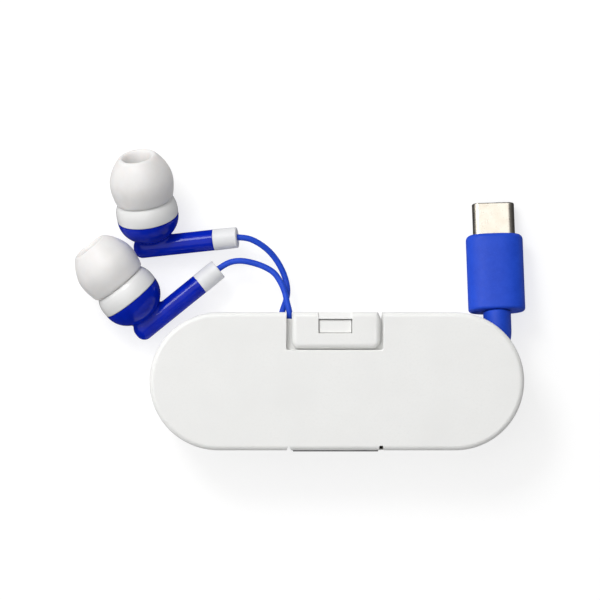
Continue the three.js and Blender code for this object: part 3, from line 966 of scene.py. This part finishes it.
def housing_distance(p):
    """Signed distance from the bowl and stem, softly joined, of millimetre points."""
    radii = np.array([BUD_RADIUS, BUD_RADIUS, BOWL_DEPTH])
    below = p.copy()
    below[:, 2] = np.minimum(below[:, 2], 0)
    k0 = np.linalg.norm(below / radii, axis=1)
    k1 = np.maximum(np.linalg.norm(below / radii**2, axis=1), 1e-9)
    bowl = k0 * (k0 - 1) / k1
    centre, half = (STEM_HEEL + STEM_END + 3) / 2, (STEM_END + 3 - STEM_HEEL) / 2
    out = np.hypot(p[:, 1], p[:, 2] + STEM_BACK) - (STEM_RADIUS - HEEL_ROUND)
    end = np.abs(p[:, 0] - centre) - (half - HEEL_ROUND)
    beyond = np.hypot(np.maximum(out, 0), np.maximum(end, 0))
    stem = np.minimum(np.maximum(out, end), 0) + beyond - HEEL_ROUND
    blend = np.clip(0.5 + 0.5 * (stem - bowl) / JOIN, 0, 1)
    return stem * (1 - blend) + bowl * blend - JOIN * blend * (1 - blend)


def drawn_to(piece, distance, matrix):
    """Moves a piece's points onto the surface where a distance is zero."""
    count = len(piece.data.vertices)
    flat = np.zeros(count * 3, np.float32)
    piece.data.vertices.foreach_get("co", flat)
    points = flat.reshape(-1, 3).astype(float)
    step = 1e-3
    for _ in range(5):
        value = distance(points)
        slope = np.stack(
            [(distance(points + step * axis) - value) / step for axis in np.eye(3)], axis=1,
        )
        size = np.maximum((slope**2).sum(axis=1), 0.05)
        points -= slope * (value / size)[:, None]
    world = np.array(matrix)[:3, :3]
    points = points @ world.T * MM + np.array(matrix.translation)
    piece.data.vertices.foreach_set("co", points.astype(np.float32).ravel())
    piece.data.update()


def rough_housing(name):
    """A coarse bowl and stem in millimetres, remeshed into one even skin."""
    scale = Matrix.Scale(1 / MM, 4)
    bowl = [(BUD_RADIUS * math.cos(a), BOWL_DEPTH * math.sin(a)) for a in (
        -math.pi / 2 + math.pi / 2 * step / 16 for step in range(17)
    )]
    bowl[0] = (0, -BOWL_DEPTH)
    piece = turned(name, bowl + [(BUD_RADIUS, 0.8), (0, 0.8)], scale, segments=48)
    rod = [(0, STEM_HEEL), (1.2, STEM_HEEL + 0.12), (1.85, STEM_HEEL + 0.75)]
    rod += [(STEM_RADIUS, STEM_HEEL + 1.7), (STEM_RADIUS, STEM_END + 3), (0, STEM_END + 3)]
    stem = turned("stem", rod, scale, along_x=True, back=STEM_BACK, segments=48)
    cut(piece, stem, "UNION")
    remesh = piece.modifiers.new("remesh", "REMESH")
    remesh.mode = "VOXEL"
    remesh.voxel_size = 0.2
    keep_shape(piece)
    return piece


def housing(side):
    """Bowl and stem in one glossy moulding, hollow for the driver and the cord."""
    matrix = BUDS[side]
    piece = rough_housing(f"bud_{side}_housing")
    drawn_to(piece, housing_distance, matrix)
    room = profile(
        [(0, -4.3), (3.4, -3.6), (4.6, -2.4), (5.2, -0.9)], [(5.2, -0.9), (5.2, -0.05)],
        [(5.2, -0.05), (9, -0.05)], [(9, -0.05), (9, 3)], [(9, 3), (0, 3)], parts=3,
    )
    cut(piece, turned("driver room", room, matrix))
    bore = [(0, -1), (1.2, -1), (1.2, STEM_END), (4, STEM_END)]
    bore += [(4, STEM_END + 5), (0, STEM_END + 5)]
    cut(piece, turned("bore", bore, matrix, along_x=True, back=STEM_BACK, segments=64))
    shaded(piece, 40, weighted=False)
    return belongs(piece, ROOT, "housing_blue", f"rear_housing_{side}")


def front_cap(side):
    """White cap with the sound nozzle and its barb."""
    line = profile(
        [(5.2, 0.03), (6.02, 0.03)], [(6.02, 0.03), (6.1, 0.12)],
        [(6.1, 0.12), (6.14, 0.9), (6.04, 2.0), (5.66, 3.15), (5.0, 4.0), (4.0, 4.62), (2.9, 4.95),
         (2.25, 5.1), (2.03, 5.4)],
        [(2.03, 5.4), (2.0, 8.6)], [(2.0, 8.6), (2.32, 9.0)],
        [(2.32, 9.0), (2.26, 9.4), (2.05, 9.8), (1.85, 9.88)], [(1.85, 9.88), (1.75, 9.85)],
        [(1.75, 9.85), (1.75, 9.3)], [(1.75, 9.3), (1.3, 9.3)], [(1.3, 9.3), (1.3, 4.6)],
        [(1.3, 4.6), (3.6, 3.6), (4.9, 2.2), (5.2, 0.9)], [(5.2, 0.9), (5.2, 0.03)],
    )
    piece = turned(f"bud_{side}_cap", line, BUDS[side])
    shaded(piece, 40)
    return belongs(piece, ROOT, "cap_white", f"front_cap_{side}")


def ear_tip(side):
    """Silicone umbrella: a sleeve for the nozzle, a funnel mouth and a thin skirt."""
    line = profile(
        [(2.5, 5.5), (3.1, 5.5)],
        [(3.1, 5.5), (3.15, 8.2), (3.3, 10.0), (4.0, 11.1), (4.9, 10.25), (5.45, 8.8), (5.65, 7.2),
         (5.5, 5.7), (5.17, 4.55), (5.25, 4.1), (5.5, 3.88), (5.75, 4.15), (6.05, 5.3), (6.27, 6.6),
         (6.3, 7.6), (6.15, 8.85), (5.62, 10.3), (4.9, 11.6), (4.3, 12.4), (3.9, 12.88),
         (3.5, 13.15), (3.15, 13.12), (2.88, 12.8), (2.68, 12.2), (2.55, 11.5), (2.5, 10.8)],
        [(2.5, 10.8), (2.5, 5.5)], parts=6,
    )
    piece = turned(f"bud_{side}_tip", line, BUDS[side], segments=112)
    shaded(piece, 50, weighted=False)
    return belongs(piece, f"tip_{side}", "silicone", f"ear_tip_{side}")


def collar(side):
    """White ring that holds the cord in the stem."""
    line = profile(
        [(0.62, 12.25), (2.05, 12.25)], [(2.05, 12.25), (2.12, 12.33)],
        [(2.12, 12.33), (2.1, 14.6), (2.06, 16.6)], [(2.06, 16.6), (2.05, 16.84), (1.92, 16.97)],
        [(1.92, 16.97), (0.8, 16.97)], [(0.8, 16.97), (0.64, 16.8)], [(0.64, 16.8), (0.62, 12.25)],
    )
    piece = turned(f"bud_{side}_collar", line, BUDS[side], along_x=True, back=STEM_BACK)
    shaded(piece, 40)
    return belongs(piece, ROOT, "cap_white", f"stem_collar_{side}", look="collar")


def nozzle_screen(side):
    """Woven wire screen in a rim, at the end of the nozzle."""
    rim = [(1.2, 9.4), (1.6, 9.4), (1.6, 9.72), (1.2, 9.72)]
    piece = turned(f"bud_{side}_screen", rim, BUDS[side], segments=64)
    pitch, wire, half = 0.21, 0.055, 6
    for direction in range(2):
        for row in range(-half, half + 1):
            offset = row * pitch
            length = math.sqrt(max(1.3**2 - offset**2, 0))
            steps = max(int(length / pitch * 4), 4)
            rings = []
            for step in range(steps + 1):
                along = -length + 2 * length * step / steps
                phase = math.pi * (along / pitch + row + direction)
                height = 9.56 + wire * 0.55 * math.cos(phase)
                ring = []
                for x, z in arc((0, 0), wire, 0, 300, 5):
                    point = (offset + x, along) if direction else (along, offset + x)
                    ring.append((*point, height + z))
                rings.append(ring)
            strand = skin("wire", rings, matrix=BUDS[side])
            absorb(piece, strand)
    shaded(piece, 50, weighted=False)
    return belongs(piece, ROOT, "steel", f"nozzle_mesh_{side}")


def absorb(piece, other):
    """Adds another object's mesh to a piece's mesh."""
    with edited(piece.data) as work:
        work.from_mesh(other.data)
    bpy.data.objects.remove(other)


# ---- plug --------------------------------------------

PLUG_WIDTH, PLUG_HEIGHT, PLUG_LENGTH = 11.3, 6.4, 15.4
SHELL_WIDTH, SHELL_HEIGHT, SHELL_WALL, SHELL_OUT = 8.34, 2.56, 0.3, 6.5


def along_plug(name, outline, levels):
    """A skin along the plug's axis, from (inset, place) pairs."""
    rings = [[(x, place, z) for x, z in inset(outline, d)] for d, place in levels]
    return skin(name, rings, matrix=PLUG)


def plug_body():
    """Soft moulded grip, with full round sides and softly rounded ends."""
    outline = oval(PLUG_WIDTH, PLUG_HEIGHT, 2.6)
    rear, front = 0.55, 1.0
    levels = edge_round(rear, 8)
    levels += [(d, PLUG_LENGTH - h) for d, h in reversed(edge_round(front, 10))]
    piece = along_plug("plug_grip", outline, levels)
    room = rounded_box(8.5, 2.7, 1.3, 10)
    cut(piece, along_plug("room", room, [(0, 2), (0, PLUG_LENGTH + 2)]))
    shaded(piece, 40)
    return belongs(piece, ROOT, "cord_blue", "plug_overmold")


def plug_metal():
    """The drawn shell of the connector, with its front edge turned in."""
    outline = rounded_box(SHELL_WIDTH, SHELL_HEIGHT, SHELL_HEIGHT / 2 - 0.005, 16)
    start, end = PLUG_LENGTH - 3.3, PLUG_LENGTH + SHELL_OUT
    levels = [(SHELL_WALL, start), (0, start)]
    levels += [(d, end - h) for d, h in reversed(edge_round(0.26, 6))]
    levels += [(SHELL_WALL, end - 0.03)]
    rings = [[(x, place, z) for x, z in inset(outline, d)] for d, place in levels]
    piece = skin("plug_metal", rings, closed=True, matrix=PLUG)
    shaded(piece, 40)
    return belongs(piece, ROOT, "nickel", "plug_shell")


def plug_tongue():
    """Black insulator: a stadium block with the slot that takes the socket's tongue."""
    outline = rounded_box(7.6, 1.8, 0.88, 12)
    front = PLUG_LENGTH + SHELL_OUT - 0.3
    levels = [(0, PLUG_LENGTH - 3), (0, front - 0.12), (0.12, front)]
    piece = along_plug("plug_insulator_block", outline, levels)
    slot = rounded_box(6.85, 1.12, 0.2, 4)
    depths = [(0, front - 5.5), (0, front - 0.25), (-0.14, front + 0.02)]
    cut(piece, along_plug("slot", slot, depths))
    shaded(piece, 40)
    return belongs(piece, ROOT, "black_plastic", "plug_insulator")


def plug_neck():
    """Strain relief: a smooth sleeve that tapers a little towards the cord."""
    full = NECK_RADIUS
    line = profile(
        [(1.02, -6.4), (1.9, -6.4)],
        [(1.9, -6.4), (2.2, -6.3), (2.45, -6.0), (2.6, -5.4), (2.72, -4.4), (full, -3.0),
         (full, -1.2)],
        [(full, -1.2), (full, -0.35)], [(full, -0.35), (2.62, -0.2)], [(2.62, -0.2), (1.02, -0.2)],
        [(1.02, -0.2), (1.02, -6.4)],
    )
    piece = turned("plug_neck", line, PLUG_TURNED)
    shaded(piece, 40)
    return belongs(piece, ROOT, "cord_blue", "plug_strain_relief")


def splitter():
    """The Y piece where the two ear cords become one."""
    low, high = (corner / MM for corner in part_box("y_splitter"))
    piece = box("cord_splitter", (low.x, -5.2), (low.y, high.y), (low.z, high.z), 0.7)
    axis = Matrix.Translation(Vector((0, -10.2, 3.2)) * MM)
    boot = [(0, -7), (1.38, -7), (1.38, -5.2), (1.3, -4.4), (1.16, -3.5), (1.1, -3.4), (0, -3.4)]
    cut(piece, turned("boot", boot, axis, along_x=True, segments=48), "UNION")
    shaded(piece, 40)
    return belongs(piece, ROOT, "cord_blue", "y_splitter")


# ---- the object --------------------------------------

junction = splitter()
plug_pieces = [plug_body(), plug_metal(), plug_tongue(), plug_neck()]
for node in ("contact_row_upper", "contact_row_lower", "plug_board", "audio_chip"):
    plug_pieces.append(frame["nodes"][node])
ear_cord("left", LEFT_ROUTE, 4.8 * MM, LEFT_TAIL)
ear_cord("right", RIGHT_ROUTE, 6.0 * MM, RIGHT_TAIL)
main_cord()

tray()
cover()
latch()
# The cover's hinge web takes the hinge look, which is painted shade: grey with a near-black painted
# shadow along the fold.
web(
    "cover_hinge_web", "cover_hinge_strip", "hinge",
    x=HINGE_X, middle_line=COVER_HINGE, reach=0.75, thick=0.3, bulge=-0.3,
)
web(
    "latch_hinge_web", "latch_hinge_strip", "shell_white",
    x=(LATCH_LOW.x + 0.5, LATCH_HIGH.x - 0.75), middle_line=LATCH_HINGE,
    reach=0.6, thick=0.35, bulge=0.12,
)

for side in BUDS:
    housing(side)
    front_cap(side)
    ear_tip(side)
    collar(side)
    nozzle_screen(side)

slots = {row["node"]: row["material_slot"] for row in frame["record"]["subparts"]}
for name, node in frame["nodes"].items():
    if not node.hide_render:
        node.data.materials.clear()
        node.data.materials.append(MATERIALS[slots[name]])


# ---- floor and light ---------------------------------

LAMP_AIM = (-0.005, 0.01, 0.005)


def floor():
    half = 3.0
    piece = made("floor", [(-half, -half, 0), (half, -half, 0), (half, half, 0), (-half, half, 0)],
                 [(0, 1, 2, 3)])
    s = Shader("floor paper", (0.32, 0.32, 0.32), 0.9)
    s.bump(s.noise(2 * MM, 2), 0.02 * MM, 0.1)
    s.set(Emission_Color=(1, 1, 1, 1), Emission_Strength=0.72)
    piece.data.materials.append(s.material)
    piece.visible_glossy = False  # gloss shows the dark of the studio low down, not the paper


def softbox(name, place, size, watts):
    """A square lamp, aimed at the middle of the object."""
    light = bpy.data.lights.new(name, "AREA")
    light.shape = "RECTANGLE"
    light.size = light.size_y = size
    light.energy = watts
    lamp = bpy.data.objects.new(name, light)
    bpy.context.scene.collection.objects.link(lamp)
    lamp.location = place
    ahead = Vector(LAMP_AIM) - Vector(place)
    lamp.rotation_euler = ahead.to_track_quat("-Z", "Y").to_euler()
    lamp.visible_camera = False


def sky():
    """A grey dome, darkest below and brightest overhead."""
    world = bpy.data.worlds.new("studio")
    bpy.context.scene.world = world
    world.use_nodes = True
    nodes, links = world.node_tree.nodes, world.node_tree.links
    place = nodes.new("ShaderNodeTexCoord")
    split = nodes.new("ShaderNodeSeparateXYZ")
    ramp = nodes.new("ShaderNodeValToRGB")
    links.new(place.outputs["Generated"], split.inputs["Vector"])
    links.new(split.outputs["Z"], ramp.inputs["Fac"])
    links.new(ramp.outputs["Color"], nodes["Background"].inputs["Color"])
    steps = ramp.color_ramp.elements
    steps[0].position, steps[0].color = 0.0, (0.06, 0.06, 0.06, 1)
    steps[1].position, steps[1].color = 1.0, (0.30, 0.30, 0.30, 1)
    middle_step = steps.new(0.5)
    middle_step.color = (0.14, 0.14, 0.14, 1)


floor()
sky()
softbox("overhead", (-0.44, 0.28, 0.93), 1.7, 11.2)
softbox("key", (-0.32, 0.52, 0.68), 0.3, 3.4)
bpy.context.scene.view_settings.view_transform = "Standard"
